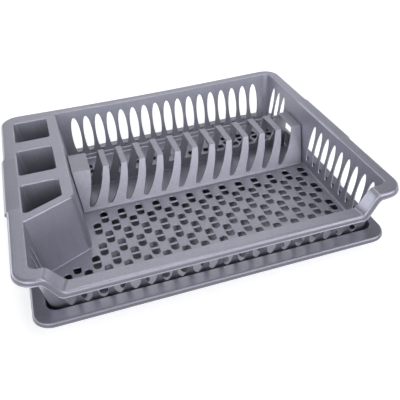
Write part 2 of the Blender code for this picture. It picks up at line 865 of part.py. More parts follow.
def tray_shell():
    corner_shares = [step / CORNER_STEPS for step in range(CORNER_STEPS + 1)]
    stations = [("corner", (-1, -1), share) for share in corner_shares]
    stations += [("corner", (1, -1), share) for share in corner_shares]
    stations += [("right", y) for y in handle_stations()]
    stations += [("corner", (1, 1), share) for share in corner_shares]
    stations += [("corner", (-1, 1), share) for share in corner_shares]
    stations += [("left", y) for y in reversed(handle_stations())]
    basket_rim = rim_bounds()
    rim = Bounds(
        basket_rim.left + TRAY_LEFT_INSET,
        basket_rim.right - TRAY_RIGHT_INSET,
        basket_rim.front + TRAY_FRONT_INSET,
        basket_rim.back - TRAY_BACK_INSET,
        TRAY_CORNER,
    )
    mouth = inner_bounds(TRAY_RIM_TOP).grown(WALL + TRAY_PLAY)
    mouth.front -= TRAY_PLAY_FRONT - TRAY_PLAY
    well = mouth.grown(-TRAY_WELL_LEAN)
    steps = [
        (well.grown(-TRAY_ROUND), TRAY_WALL, 0),
        (well, TRAY_WALL + TRAY_ROUND, 0),
        (mouth, TRAY_RIM_TOP - TRAY_ROUND, 0),
        (mouth.grown(TRAY_ROUND), TRAY_RIM_TOP, 0),
        (rim.grown(-TRAY_ROUND), TRAY_RIM_TOP, TRAY_BULGE),
        (rim, TRAY_RIM_TOP - TRAY_ROUND, TRAY_BULGE),
        (rim, TRAY_RIM_TOP - TRAY_SKIRT, TRAY_BULGE),
        (rim.grown(-TRAY_WALL), TRAY_RIM_TOP - TRAY_SKIRT, TRAY_BULGE),
        (rim.grown(-TRAY_WALL), TRAY_RIM_TOP - TRAY_WALL, TRAY_BULGE),
        (mouth.grown(TRAY_WALL), TRAY_RIM_TOP - TRAY_WALL, 0),
        (well.grown(TRAY_WALL), TRAY_ROUND, 0),
        (well.grown(TRAY_WALL - TRAY_ROUND), 0, 0),
    ]
    rings = []
    for bounds, height, bulge in steps:
        rings.append([ring_point(station, bounds, bulge) + (height,) for station in stations])
    bm = bmesh.new()
    loft(bm, rings)
    return mesh_from("drip_tray", bm)


def build_tray(parts):
    return add_part("drip_tray", tray_shell(), parts, TRAY_FINISH)


def main():
    for item in list(bpy.data.objects):
        bpy.data.objects.remove(item)
    parts = bpy.data.collections.new("dish_drainer")
    cutters = bpy.data.collections.new("cutters")
    bpy.context.scene.collection.children.link(parts)
    bpy.context.scene.collection.children.link(cutters)
    build_tray(parts)
    build_basket(parts, cutters)
    build_rack(parts, cutters)


main()
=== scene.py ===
import math

import bmesh
import bpy
from mathutils import Matrix, Vector


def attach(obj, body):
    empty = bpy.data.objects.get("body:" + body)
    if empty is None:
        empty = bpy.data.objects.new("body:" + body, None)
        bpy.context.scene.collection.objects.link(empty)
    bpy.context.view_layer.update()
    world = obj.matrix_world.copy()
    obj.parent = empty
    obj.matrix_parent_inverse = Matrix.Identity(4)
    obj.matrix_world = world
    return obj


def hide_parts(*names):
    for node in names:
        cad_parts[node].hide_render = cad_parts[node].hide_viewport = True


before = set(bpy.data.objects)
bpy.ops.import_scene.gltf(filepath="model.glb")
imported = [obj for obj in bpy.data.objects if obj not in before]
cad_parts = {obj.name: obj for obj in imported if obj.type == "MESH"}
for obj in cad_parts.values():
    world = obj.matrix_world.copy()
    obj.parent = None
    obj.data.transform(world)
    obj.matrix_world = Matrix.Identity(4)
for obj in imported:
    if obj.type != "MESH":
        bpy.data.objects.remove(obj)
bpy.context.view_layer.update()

# Basket rim, seen from above
RIM_LENGTH = 0.4576
RIM_DEPTH = 0.3952
RIM_CORNER = 0.0266
FLANGE_LEFT = 0.0190
FLANGE_RIGHT = 0.0162
FLANGE_FRONT = 0.0194
FLANGE_BACK = 0.0161
HANDLE_LENGTH = 0.1320
HANDLE_MIDDLE = 0.0024
HANDLE_BULGE = 0.0026
HANDLE_RAMP = 0.0040
HANDLE_SCOOP = 0.0030
HANDLE_DIP = 0.0007

# Basket heights above the table
RIM_TOP = 0.1017
RIM_FRONT_TOP = 0.0765
RIM_BACK_DIP = 0.0024
FLOOR_TOP = 0.0150

# Basket wall and lip
WALL = 0.0016
SKIRT_DROP = 0.0082
LIP_ROUND = 0.0046
LIP_BEAD = 0.0006
MOUTH_ROUND = 0.0012
FLOOR_ROUND = 0.0025
INNER_CORNER = 0.0100
LEAN_LEFT = 0.0105
LEAN_RIGHT = 0.0076
LEAN_FRONT = 0.0223
LEAN_BACK = 0.0086

# Fall of the rim at both ends of the front
FALL_RIGHT_START = 0.1930
FALL_LEFT_START = -0.1983
FALL_LENGTH = 0.0220
FALL_SKIRT_SHIFT = 0.0038

# Drainage slots in the walls
SLOT_PITCH = 0.0190
SLOT_WIDTH = 0.0140
SLOT_BOTTOM = 0.0252
SLOT_TOP = 0.0878
FRONT_SLOT_BOTTOM = 0.0215
FRONT_SLOT_TOP = 0.0640
SLOT_FIRST_X = 0.1845
BACK_SLOTS = 17
FRONT_SLOTS = 20
SIDE_SLOT_PITCH = 0.0196
SIDE_REAR_SLOT_Y = 0.1556
SIDE_FRONT_SLOT_Y = 0.0081
SIDE_REAR_SLOTS = 3
SIDE_FRONT_SLOTS = 9
LEFT_FIRST_SLOT = 6
SLOT_TILT = 0.15

# Window in the right wall beside the end of the rack
WINDOW_BACK = 0.1060
WINDOW_LENGTH = 0.0560
WINDOW_BOTTOM = 0.0380
WINDOW_HEIGHT = 0.0260
WINDOW_CORNER = 0.0060

# Drainage holes in the basket floor
HOLE_PITCH_X = 0.02555
HOLE_PITCH_Y = 0.0228
HOLE_PAIR_STEP = 0.0152
HOLE_WIDTH = 0.0098
HOLE_LENGTH = 0.0114
HOLE_FIRST_X = -0.1759
HOLE_FIRST_Y = -0.1265
HOLE_COLUMNS = 15
HOLE_ROW_PLACES = (0, 1, 2, 3, 4, 5, 6, 11, 12)
HOLE_MARGIN = 0.0040
HOLE_CORNER = 0.0010
HOLE_SHOULDER = 0.55
HOLE_CHAMFER = 0.0007

# Cutlery section
SECTION_RIGHT = 0.0825
SECTION_LEAN = 0.0080
SECTION_CORNER = 0.0120
SECTION_BITE = 0.0009
SECTION_LEDGE = 0.0046
SECTION_DROP = 0.0002
SECTION_ROUND = 0.0020
SECTION_FOOT = 0.0018
SECTION_TOP_INSET = 0.9 * WALL
FACE_ANGLE = math.radians(26.3)
FACE_OFFSET = 0.0132
FACE_LEAN = 0.0040
WELL_RIGHT_RIM = 0.0139
WELL_LEAN = 0.0055
WELL_CORNER = 0.0050
WELL_ROUND = 0.0014
WELL_MOUTH = 0.0022
WELL_BACKS = (0.1714, 0.0821, -0.0091)
WELL_FRONTS = (0.1087, 0.0156)
WELL_FACE_RIM = 0.0128
WELL_SKIN = 0.0004
WELL_FLOOR = 0.0020
WELL_DRAINS = 3
DRAIN_WIDTH = 0.0060
DRAIN_PITCH = 0.0160

# Feet under the basket
FOOT_LENGTH = 0.0180
FOOT_WIDTH = 0.0050
FOOT_TAPER = 0.0006
FOOT_INSET = 0.0020
FOOT_CORNER = 0.0012
FRONT_FEET_X = (-0.1500, 0.0150, 0.1800)
BACK_FEET_X = (-0.1100, 0.0350, 0.1800)

# Plate rack
RACK_HEIGHT = 0.0565
RACK_FOOT_Y = 0.0232
RACK_BEND_Y = 0.0441
RACK_BACK_Y = 0.0956
RACK_BACK_LEAN = 0.0072
RACK_SIDE_GAP = 0.0011
RACK_FOOT_LIP = 0.0010
RACK_FOOT_LIP_HEIGHT = 0.0022
RACK_WALL = 0.0020
RACK_ROUND = 0.0030
RACK_EDGE = 0.0007
RACK_EDGE_DEPTH = 0.0014
RACK_EDGE_FADE = 1.5 * RACK_EDGE
RACK_NOTCH = 0.0040
RACK_FOOT_BAR = 0.0012
RACK_PITCH = 0.02654
RACK_SLOTS = 12
RACK_FIRST_SLOT_X = -0.1242
RACK_SILL = 0.0056
RACK_BACK_SILL = 0.0143
RACK_BACK_RAIL = 0.0034
RACK_HEIGHT_SHARES = (0.0, 0.06, 0.2, 0.4, 0.66, 1.0)
RACK_SHIFT_SHARES = (-0.02, 0.04, 0.17, 0.344, 0.511, 0.65)
RACK_WIDTH_SHARES = (0.17, 0.32, 0.43, 0.515, 0.579, 0.684)

# Drip tray
TRAY_LEFT = -0.2220
TRAY_RIGHT = 0.2212
TRAY_FRONT = -0.1888
TRAY_BACK = 0.1922
TRAY_CORNER = 0.0240
TRAY_BULGE = 0.0033
TRAY_RIM_TOP = 0.0285
TRAY_SKIRT = 0.0065
TRAY_WALL = 0.0018
TRAY_PLAY = 0.0022
TRAY_PLAY_FRONT = 0.0054
TRAY_WELL_LEAN = 0.0025
TRAY_ROUND = 0.0018
TRAY_LIP_ROUND = 0.0036
TRAY_BEAD = 0.0005

GAP = 0.0003
OVERRUN = 0.0040

# Steps of the fine surfaces
RIM_CORNER_STEPS = 14
FALL_STEPS = 26
DIP_STEPS = 18
RAMP_STEPS = 4
ROUND_STEPS = 4
PRISM_STEPS = 6
SLOT_SIDES = 36
EDGE_STEPS = 18
EDGE_CROWDING = 1.5
HOLE_CORNER_STEPS = 3
HOLE_ARCH_STEPS = 12
FALL_OVERLAP = 0.1

# Clean-up and shading of the finished meshes
FLAT_ANGLE = 0.002
SHARP_ANGLE = math.radians(34)
NORMAL_WEIGHT = 80


class Bounds:
    """A rectangle with rounded corners, seen from above."""

    def __init__(self, left, right, front, back, corner):
        self.left = left
        self.right = right
        self.front = front
        self.back = back
        self.corner = corner

    def grown(self, amount):
        return Bounds(
            self.left - amount,
            self.right + amount,
            self.front - amount,
            self.back + amount,
            self.corner + amount,
        )


def mix(low, high, share):
    return low + (high - low) * share


def smooth_step(share):
    """0 to 1 with level ends."""
    share = min(max(share, 0), 1)
    return share * share * (3 - 2 * share)


def quarter(steps, start=0):
    """Angles from 0 to a right angle."""
    return [math.pi / 2 * step / steps for step in range(start, steps + 1)]


def sine_gap(radius, angle):
    """Falls from the radius to 0 over a quarter turn."""
    return radius * (1 - math.sin(angle))


def cosine_gap(radius, angle):
    """Rises from 0 to the radius over a quarter turn."""
    return radius * (1 - math.cos(angle))


def rim_bounds():
    half_length = RIM_LENGTH / 2
    half_depth = RIM_DEPTH / 2
    return Bounds(-half_length, half_length, -half_depth, half_depth, RIM_CORNER)


def depth_share(height):
    """0 at the rim, 1 at the basket's floor."""
    return (RIM_TOP - height) / (RIM_TOP - FLOOR_TOP)


def inner_bounds(height, front_top=RIM_FRONT_TOP):
    """Inner faces of the basket walls, which lean out towards the rim."""
    rim = rim_bounds()
    depth = depth_share(height)
    front_share = (front_top - height) / (front_top - FLOOR_TOP)
    return Bounds(
        rim.left + FLANGE_LEFT + LEAN_LEFT * depth,
        rim.right - FLANGE_RIGHT - LEAN_RIGHT * depth,
        rim.front + FLANGE_FRONT + LEAN_FRONT * front_share,
        rim.back - FLANGE_BACK - LEAN_BACK * depth,
        INNER_CORNER,
    )


def skirt_edge(wall, bead):
    """Rise and growth of each ring round the bead and the lower edge of a rim's skirt."""
    edge = wall / 2
    rings = [(2 * edge + bead, -bead)]
    for angle in quarter(ROUND_STEPS):
        rings.append((edge * (1 + math.cos(angle)), -bead * math.cos(angle)))
    for angle in quarter(ROUND_STEPS, 1):
        rings.append((sine_gap(edge, angle), -cosine_gap(edge, angle)))
    for angle in quarter(ROUND_STEPS, 1):
        rings.append((cosine_gap(edge, angle), -edge - edge * math.sin(angle)))
    return rings


# Stations round a rim

def straight_share(x):
    """0 to 1 along the straight part of the front or the back rim."""
    rim = rim_bounds()
    return (x - rim.left - rim.corner) / (rim.right - rim.left - 2 * rim.corner)


def handle_stations():
    low = HANDLE_MIDDLE - HANDLE_LENGTH / 2
    high = HANDLE_MIDDLE + HANDLE_LENGTH / 2
    ramp = [HANDLE_RAMP * step / RAMP_STEPS for step in range(RAMP_STEPS + 1)]
    return [low + along for along in ramp] + [high - along for along in reversed(ramp)]


def ring_stations(falling):
    """Stations round the rim, anticlockwise from the front left corner."""
    corner_shares = [step / RIM_CORNER_STEPS for step in range(RIM_CORNER_STEPS + 1)]
    stations = [("corner", (-1, -1), share) for share in corner_shares]
    if falling:
        spread = 1 + 2 * FALL_OVERLAP
        shares = [spread * step / FALL_STEPS - FALL_OVERLAP for step in range(FALL_STEPS + 1)]
        falls = [FALL_LEFT_START + FALL_LENGTH * share for share in shares]
        falls += [FALL_RIGHT_START - FALL_LENGTH * share for share in reversed(shares)]
        stations += [("front", straight_share(x)) for x in falls]
    stations += [("corner", (1, -1), share) for share in corner_shares]
    stations += [("right", y) for y in handle_stations()]
    stations += [("corner", (1, 1), share) for share in corner_shares]
    if falling:
        stations += [("back", 1 - step / DIP_STEPS) for step in range(1, DIP_STEPS)]
    stations += [("corner", (-1, 1), share) for share in corner_shares]
    stations += [("left", y) for y in reversed(handle_stations())]
    return stations


def corner_point(bounds, sides, share):
    quarter_turns = {(1, 1): 0, (-1, 1): 1, (-1, -1): 2, (1, -1): 3}
    angle = (quarter_turns[sides] + share) * math.pi / 2
    centre_x = bounds.right - bounds.corner if sides[0] > 0 else bounds.left + bounds.corner
    centre_y = bounds.back - bounds.corner if sides[1] > 0 else bounds.front + bounds.corner
    return centre_x + bounds.corner * math.cos(angle), centre_y + bounds.corner * math.sin(angle)


def handle_share(y):
    past = HANDLE_LENGTH / 2 - abs(y - HANDLE_MIDDLE)
    return smooth_step(past / HANDLE_RAMP)


def rim_height(station, shift=0):
    """The front falls in an S-curve from both ends, the back dips a little."""
    kind, place = station[0], station[1]
    if kind == "front":
        x = mix(rim_bounds().left + RIM_CORNER, rim_bounds().right - RIM_CORNER, place)
        x -= math.copysign(shift, x)
        left = smooth_step((x - FALL_LEFT_START) / FALL_LENGTH)
        right = smooth_step((FALL_RIGHT_START - x) / FALL_LENGTH)
        return mix(RIM_TOP, RIM_FRONT_TOP, min(left, right))
    if kind == "back":
        return RIM_TOP - RIM_BACK_DIP * math.sin(math.pi * place)
    return RIM_TOP


def ring_point(station, bounds, bulge=0):
    kind, place = station[0], station[1]
    if kind == "corner":
        return corner_point(bounds, place, station[2])
    if kind in ("front", "back"):
        x = mix(bounds.left + bounds.corner, bounds.right - bounds.corner, place)
        return x, bounds.front if kind == "front" else bounds.back
    bulge *= handle_share(place)
    return (bounds.right + bulge if kind == "right" else bounds.left - bulge), place


# Meshes and objects

def loft(bm, rings):
    """Closed skin over a list of matching rings, with flat end caps."""
    loops = [[bm.verts.new(point) for point in points] for points in rings]
    count = len(loops[0])
    for low, high in zip(loops, loops[1:]):
        for index in range(count):
            after = (index + 1) % count
            bm.faces.new((low[index], low[after], high[after], high[index]))
    bm.faces.new(loops[0])
    bm.faces.new(loops[-1])


def lofted(rings):
    bm = bmesh.new()
    loft(bm, rings)
    return bm


def span_x(bm, outline, ends):
    """Loft an outline of (y, height) from one x to another."""
    loft(bm, [[(x, y, height) for y, height in outline] for x in ends])


def span_y(bm, outline, ends):
    """Loft an outline of (x, height) from one y to another."""
    loft(bm, [[(x, y, height) for x, height in outline] for y in ends])


def stack(bm, outlines):
    """Loft over a list of (outline, height)."""
    loft(bm, [[(x, y, height) for x, y in outline] for outline, height in outlines])


def rounded(corners, radii, steps=PRISM_STEPS):
    outline = []
    for index, radius in enumerate(radii):
        corner = Vector(corners[index])
        if not radius:
            outline.append(tuple(corner))
            continue
        before = (Vector(corners[index - 1]) - corner).normalized()
        after = (Vector(corners[(index + 1) % len(corners)]) - corner).normalized()
        half_angle = before.angle(after) / 2
        centre = corner + (before + after).normalized() * radius / math.sin(half_angle)
        start = (corner + before * radius / math.tan(half_angle) - centre).normalized()
        end = (corner + after * radius / math.tan(half_angle) - centre).normalized()
        for step in range(steps + 1):
            outline.append(tuple(centre + start.slerp(end, step / steps) * radius))
    return outline


def box_corners(left, right, low, high):
    return [(left, low), (right, low), (right, high), (left, high)]


def ellipse(centre_x, centre_y, width, length, sides):
    outline = []
    for side in range(sides):
        angle = 2 * math.pi * (side + 0.5) / sides
        across = width / 2 * math.cos(angle)
        outline.append((centre_x + across, centre_y + length / 2 * math.sin(angle)))
    return outline


def object_from(name, bm):
    bmesh.ops.recalc_face_normals(bm, faces=bm.faces[:])
    mesh = bpy.data.meshes.new(name)
    bm.to_mesh(mesh)
    bm.free()
    made = bpy.data.objects.new(name, mesh)
    bpy.context.scene.collection.objects.link(made)
    return made


def shaped(name, base, steps):
    """One mesh from a base shape and a list of (operation, shape)."""
    made = object_from(name, base)
    tools = []
    for number, (operation, bm) in enumerate(steps):
        tool = object_from("%s_tool_%d" % (name, number), bm)
        modifier = made.modifiers.new(tool.name, "BOOLEAN")
        modifier.operation = operation
        modifier.solver = "EXACT"
        modifier.object = tool
        tools.append(tool)
    bpy.context.view_layer.update()
    graph = bpy.context.evaluated_depsgraph_get()
    mesh = bpy.data.meshes.new_from_object(made.evaluated_get(graph))
    bpy.data.objects.remove(made)
    for tool in tools:
        bpy.data.objects.remove(tool)
    clean = bmesh.new()
    clean.from_mesh(mesh)
    verts, edges = clean.verts[:], clean.edges[:]
    bmesh.ops.dissolve_limit(clean, angle_limit=FLAT_ANGLE, verts=verts, edges=edges)
    clean.to_mesh(mesh)
    clean.free()
    mesh.materials.clear()
    piece = bpy.data.objects.new(name, mesh)
    bpy.context.scene.collection.objects.link(piece)
    mesh.shade_smooth()
    mesh.set_sharp_from_angle(angle=SHARP_ANGLE)
    weighted = piece.modifiers.new("weighted_normals", "WEIGHTED_NORMAL")
    weighted.keep_sharp = True
    weighted.weight = NORMAL_WEIGHT
    return piece


# Basket

def mouth_round(station):
    """The mouth is scooped out behind the right handle."""
    if station[0] != "right":
        return MOUTH_ROUND
    return mix(MOUTH_ROUND, HANDLE_SCOOP, handle_share(station[1]))


def basket_shell():
    stations = ring_stations(True)
    rim = rim_bounds()
    bottom = FLOOR_TOP - WALL
    rings = []

    def add(height_of, bounds_of, bulge=0):
        points = []
        for station in stations:
            height = height_of(station)
            x, y = ring_point(station, bounds_of(station, height), bulge)
            points.append((x, y, height))
        rings.append(points)

    def wall_ring(height_of, grown):
        def bounds_of(station, height):
            return inner_bounds(height, rim_height(station)).grown(grown)
        add(height_of, bounds_of)

    def rim_ring(height_of, grown):
        add(height_of, lambda station, height: rim.grown(grown), HANDLE_BULGE)

    def mouth_ring(angle):
        def height_of(station):
            return rim_height(station) - sine_gap(mouth_round(station), angle)

        def bounds_of(station, height):
            top = rim_height(station)
            foot = inner_bounds(top - mouth_round(station), top)
            return foot.grown(cosine_gap(mouth_round(station), angle))
        add(height_of, bounds_of)

    def handle_dip(station):
        return HANDLE_DIP * handle_share(station[1]) if station[0] in ("left", "right") else 0

    def below_rim(drop):
        return lambda station: rim_height(station) - drop

    def below_lip(drop):
        return lambda station: rim_height(station) - handle_dip(station) - drop

    def above_skirt(rise):
        return lambda station: rim_height(station, FALL_SKIRT_SHIFT) - SKIRT_DROP + rise

    for angle in quarter(ROUND_STEPS):
        height = FLOOR_TOP + cosine_gap(FLOOR_ROUND, angle)
        wall_ring(lambda station, height=height: height, -sine_gap(FLOOR_ROUND, angle))
    for angle in quarter(ROUND_STEPS + 2):
        mouth_ring(angle)
    for angle in quarter(ROUND_STEPS + 2):
        rim_ring(below_lip(cosine_gap(LIP_ROUND, angle)), -sine_gap(LIP_ROUND, angle) - LIP_BEAD)
    for rise, grown in skirt_edge(WALL, LIP_BEAD):
        rim_ring(above_skirt(rise), grown)
    rim_ring(below_lip(2 * WALL), -WALL - LIP_BEAD / 4)
    rim_ring(below_lip(WALL + LIP_BEAD), -LIP_ROUND)
    wall_ring(below_rim(WALL + LIP_BEAD), WALL + MOUTH_ROUND)
    wall_ring(below_rim(2 * WALL + LIP_BEAD), WALL)
    for angle in quarter(ROUND_STEPS):
        height = bottom + sine_gap(FLOOR_ROUND, angle)
        wall_ring(lambda station, height=height: height, WALL - cosine_gap(FLOOR_ROUND, angle))
    return lofted(rings)


def face_line_y(x, offset):
    """The slanted face of the cutlery section, seen from above."""
    return (x * math.sin(FACE_ANGLE) + offset) / math.cos(FACE_ANGLE)


def section_right(height):
    return rim_bounds().left + SECTION_RIGHT + SECTION_LEAN * depth_share(height)


def section_corners(height, reach, inset):
    """Corners of the cutlery section, reaching into the walls and inset from its own faces."""
    walls = inner_bounds(height)
    left = walls.left - reach
    back = walls.back + reach
    right = section_right(height) - inset
    offset = FACE_OFFSET - FACE_LEAN * depth_share(height) + inset
    return [
        (left, face_line_y(left, offset)),
        (right, face_line_y(right, offset)),
        (right, back),
        (left, back),
    ]


def section_outline(height, reach, inset):
    radii = (0, SECTION_CORNER - inset, 0, INNER_CORNER + reach)
    return rounded(section_corners(height, reach, inset), radii)


def back_dip(x):
    """How far the back rim has dipped at an x."""
    return RIM_BACK_DIP * math.sin(math.pi * min(max(straight_share(x), 0), 1))


def section_faces():
    """The slanted and the right face of the cutlery section, one thin wall from wall to wall."""
    levels = [(FLOOR_TOP - WALL / 2, -SECTION_FOOT)]
    for angle in quarter(ROUND_STEPS):
        levels.append((FLOOR_TOP + cosine_gap(SECTION_FOOT, angle), -sine_gap(SECTION_FOOT, angle)))
    high = RIM_TOP - SECTION_DROP - SECTION_ROUND
    levels.append((high, 0))
    rings = []
    for height, inset in levels:
        outside = section_corners(height, SECTION_BITE, inset)[:3]
        inside = section_corners(height, SECTION_BITE, WALL)[2::-1]
        radii = (0, SECTION_CORNER - inset, 0, 0, SECTION_CORNER - WALL, 0)
        rings.append([(x, y, height) for x, y in rounded(outside + inside, radii)])
    return lofted(rings)


def section_top():
    """The top follows the dip of the back rim and rounds over into both faces."""
    back = inner_bounds(RIM_TOP).back
    front = WELL_BACKS[0] - WELL_CORNER
    high = RIM_TOP - SECTION_DROP
    levels = [(high - SECTION_ROUND, SECTION_TOP_INSET)]
    for angle in quarter(ROUND_STEPS + 1):
        levels.append((high - sine_gap(SECTION_ROUND, angle), cosine_gap(SECTION_ROUND, angle)))
    rings = []
    for height, inset in levels:
        ring = []
        for x, y in section_outline(height, SECTION_BITE, inset):
            ring.append((x, y, height - back_dip(x) * smooth_step((y - front) / (back - front))))
        rings.append(ring)
    return lofted(rings)


def section_opening():
    """The floor is open under the cutlery section, but for a ledge all round."""
    bm = bmesh.new()
    levels = (FLOOR_TOP - WALL - OVERRUN, FLOOR_TOP + OVERRUN)
    ledge = SECTION_LEDGE
    stack(bm, [(section_outline(height, -ledge, ledge), height) for height in levels])
    return bm


def well_outline(well, height, skin):
    """Outline of one cutlery well at a height, grown by a skin."""
    inset = WELL_LEAN * depth_share(height) - skin
    left = inner_bounds(height).left + WELL_SKIN - skin
    right = rim_bounds().left + SECTION_RIGHT - WELL_RIGHT_RIM - inset
    back = WELL_BACKS[well] - inset
    if well < len(WELL_FRONTS):
        front_left = WELL_FRONTS[well] + inset
        front_right = front_left
    else:
        offset = FACE_OFFSET + WELL_FACE_RIM + inset
        front_left = face_line_y(left, offset)
        front_right = face_line_y(right, offset)
    corners = [(left, front_left), (right, front_right), (right, back), (left, back)]
    return rounded(corners, [WELL_CORNER + skin] * len(corners))


def well_cups():
    bm = bmesh.new()
    low = FLOOR_TOP - WELL_FLOOR
    high = RIM_TOP - SECTION_DROP - SECTION_ROUND / 2
    for well in range(len(WELL_BACKS)):
        stack(bm, [(well_outline(well, low, WALL), low), (well_outline(well, high, WALL), high)])
    return bm


def well_insides():
    bm = bmesh.new()
    for well in range(len(WELL_BACKS)):
        outlines = []
        for angle in quarter(ROUND_STEPS):
            height = FLOOR_TOP + cosine_gap(WELL_ROUND, angle)
            outlines.append((well_outline(well, height, -sine_gap(WELL_ROUND, angle)), height))
        for angle in quarter(ROUND_STEPS + 1):
            height = RIM_TOP - sine_gap(WELL_MOUTH, angle)
            outlines.append((well_outline(well, height, cosine_gap(WELL_MOUTH, angle)), height))
        high = RIM_TOP + OVERRUN
        outlines.append((outlines[-1][0], high))
        stack(bm, outlines)
    return bm


def well_drains():
    bm = bmesh.new()
    for well in range(len(WELL_BACKS)):
        floor = well_outline(well, FLOOR_TOP, 0)
        middle_x = sum(x for x, y in floor) / len(floor)
        middle_y = sum(y for x, y in floor) / len(floor)
        for drain in range(WELL_DRAINS):
            y = middle_y + DRAIN_PITCH * (drain - (WELL_DRAINS - 1) / 2)
            outline = ellipse(middle_x, y, DRAIN_WIDTH, DRAIN_WIDTH, SLOT_SIDES)
            stack(bm, [(outline, FLOOR_TOP - WALL - OVERRUN), (outline, FLOOR_TOP + OVERRUN)])
    return bm


def slot_places():
    """Side and place along it of every slot in the walls."""
    places = [("back", SLOT_FIRST_X - SLOT_PITCH * slot) for slot in range(BACK_SLOTS)]
    places += [("front", SLOT_FIRST_X - SLOT_PITCH * slot) for slot in range(FRONT_SLOTS)]
    rear = [SIDE_REAR_SLOT_Y - SIDE_SLOT_PITCH * slot for slot in range(SIDE_REAR_SLOTS)]
    front = [SIDE_FRONT_SLOT_Y - SIDE_SLOT_PITCH * slot for slot in range(SIDE_FRONT_SLOTS)]
    places += [("right", y) for y in rear + front]
    places += [("left", y) for y in front[LEFT_FIRST_SLOT:]]
    return places


def wall_cutter(bm, side, outline):
    """Prism across a wall from an outline of places along the wall and heights."""
    heights = [point[1] for point in outline]
    outward = 1 if side in ("back", "right") else -1
    start = getattr(inner_bounds(min(heights)), side) - outward * OVERRUN
    end = getattr(inner_bounds(max(heights)), side) + outward * (WALL + OVERRUN)
    span = span_y if side in ("back", "front") else span_x
    span(bm, outline, (start, end))


def wall_slots():
    bm = bmesh.new()
    for side, along in slot_places():
        bottom, top = SLOT_BOTTOM, SLOT_TOP
        if side == "front":
            bottom, top = FRONT_SLOT_BOTTOM, FRONT_SLOT_TOP
        middle = (bottom + top) / 2
        outline = ellipse(along, middle, SLOT_WIDTH, top - bottom, SLOT_SIDES)
        if side in ("left", "right"):
            outline = [(y + (middle - height) * SLOT_TILT, height) for y, height in outline]
        wall_cutter(bm, side, outline)
    top = WINDOW_BOTTOM + WINDOW_HEIGHT
    front = WINDOW_BACK - WINDOW_LENGTH
    corners = box_corners(front, WINDOW_BACK, WINDOW_BOTTOM, top)
    wall_cutter(bm, "right", rounded(corners, [WINDOW_CORNER] * len(corners)))
    return bm


def hole_fits(x, y):
    """A hole needs floor all round it, clear of the walls and the cutlery section."""
    floor = inner_bounds(FLOOR_TOP)
    reach_x = HOLE_WIDTH / 2 + HOLE_MARGIN
    reach_y = HOLE_LENGTH / 2 + HOLE_MARGIN
    if x - reach_x < floor.left or x + reach_x > floor.right:
        return False
    if y - reach_y < floor.front or y + reach_y > floor.back:
        return False
    section_front = face_line_y(x - reach_x, FACE_OFFSET - FACE_LEAN)
    return x - reach_x > section_right(FLOOR_TOP) or y + reach_y < section_front


def hole_outline(x, y, turned, grown):
    """A D shape with its round end turned to one side."""
    half = HOLE_WIDTH / 2 + grown
    low = -HOLE_LENGTH / 2 - grown
    high = HOLE_LENGTH / 2 + grown
    shoulder = low + (high - low) * HOLE_SHOULDER
    outline = []
    for side in (-1, 1):
        corner_x = side * (half - HOLE_CORNER)
        for angle in quarter(HOLE_CORNER_STEPS)[::side]:
            across = corner_x + side * HOLE_CORNER * math.sin(angle)
            outline.append((across, low + cosine_gap(HOLE_CORNER, angle)))
    for step in range(HOLE_ARCH_STEPS + 1):
        angle = math.pi * step / HOLE_ARCH_STEPS
        outline.append((half * math.cos(angle), shoulder + (high - shoulder) * math.sin(angle)))
    return [(x + across, y + turned * along) for across, along in outline]


def floor_holes():
    bm = bmesh.new()
    for row in HOLE_ROW_PLACES:
        rear_y = HOLE_FIRST_Y + HOLE_PITCH_Y * row
        shift = (row + 1) % 2 * HOLE_PITCH_X / 2
        for column in range(HOLE_COLUMNS):
            x = HOLE_FIRST_X + HOLE_PITCH_X * column + shift
            for y, turned in ((rear_y, 1), (rear_y - HOLE_PAIR_STEP, -1)):
                if not hole_fits(x, y):
                    continue
                narrow = hole_outline(x, y, turned, 0)
                wide = hole_outline(x, y, turned, HOLE_CHAMFER)
                stack(bm, [
                    (narrow, FLOOR_TOP - WALL - OVERRUN),
                    (narrow, FLOOR_TOP - HOLE_CHAMFER),
                    (wide, FLOOR_TOP),
                    (wide, FLOOR_TOP + OVERRUN),
                ])
    return bm


def basket_feet():
    bm = bmesh.new()
    floor = inner_bounds(FLOOR_TOP)
    places = [(x, floor.front + FOOT_INSET + FOOT_WIDTH / 2) for x in FRONT_FEET_X]
    places += [(x, floor.back - FOOT_INSET - FOOT_WIDTH / 2) for x in BACK_FEET_X]
    for x, y in places:
        outlines = []
        for taper, height in ((FOOT_TAPER, TRAY_WALL + GAP), (0, FLOOR_TOP - WALL / 2)):
            half_x = FOOT_LENGTH / 2 - taper
            half_y = FOOT_WIDTH / 2 - taper
            corners = box_corners(x - half_x, x + half_x, y - half_y, y + half_y)
            outlines.append((rounded(corners, [FOOT_CORNER] * len(corners)), height))
        stack(bm, outlines)
    return bm


def make_basket():
    return shaped("basket_shell", basket_shell(), [
        ("DIFFERENCE", section_opening()),
        ("UNION", section_faces()),
        ("UNION", section_top()),
        ("UNION", well_cups()),
        ("DIFFERENCE", well_insides()),
        ("DIFFERENCE", well_drains()),
        ("UNION", basket_feet()),
        ("DIFFERENCE", wall_slots()),
        ("DIFFERENCE", floor_holes()),
    ])


# Plate rack

def rack_foot_z():
    return FLOOR_TOP + GAP


def rack_top_z():
    return rack_foot_z() + RACK_HEIGHT


def rack_ends(height):
    """Left and right end of the rack, which follow the section and the wall."""
    floor_round = FLOOR_ROUND * (height <= rack_foot_z() + FLOOR_ROUND)
    left = section_right(height) + RACK_SIDE_GAP
    return left, inner_bounds(height).right - floor_round - RACK_SIDE_GAP


def rack_front_y(height):
    return mix(RACK_FOOT_Y, RACK_BEND_Y, (height - rack_foot_z()) / RACK_HEIGHT)


def rack_back_y(height):
    return mix(RACK_BACK_Y - RACK_BACK_LEAN, RACK_BACK_Y, (height - rack_foot_z()) / RACK_HEIGHT)


